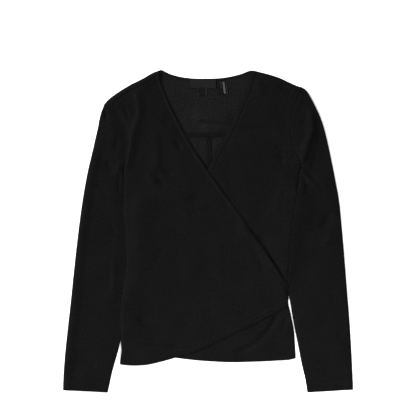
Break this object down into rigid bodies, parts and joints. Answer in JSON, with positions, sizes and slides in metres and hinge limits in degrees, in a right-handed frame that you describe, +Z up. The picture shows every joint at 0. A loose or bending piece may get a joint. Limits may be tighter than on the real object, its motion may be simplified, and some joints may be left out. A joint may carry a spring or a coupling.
{
  "type": "wrap top",
  "caption": "Black long-sleeved wrap top with a crossed V neck and a slanting crossed hem, laid flat on its back.",
  "frame": {"origin": "centre of the bounding box at its underside, on the surface that the top lies on", "axes": "+Y from hem to neck, +Z up out of the front, +X towards the wearer's left"},
  "size_m": [0.6086, 0.6766, 0.0094],
  "materials": {
    "black_crepe": "matt black crepe, very fine grain",
    "black_binding": "matt black crepe, folded and stitched down",
    "black_satin": "black satin ribbon, low sheen"
  },
  "bodies": {
    "root": {"back_yoke": "black_crepe", "back_right": "black_crepe", "back_left": "black_crepe", "front_over": "black_crepe", "front_under": "black_crepe", "sleeve_right": "black_crepe", "sleeve_left": "black_crepe", "band_over": "black_binding", "band_under": "black_binding", "band_back": "black_binding", "neck_label": "black_satin", "size_tab": "black_satin", "care_leaf_1": "black_satin", "care_leaf_2": "black_satin", "care_leaf_3": "black_satin"}
  },
  "joints": []
}
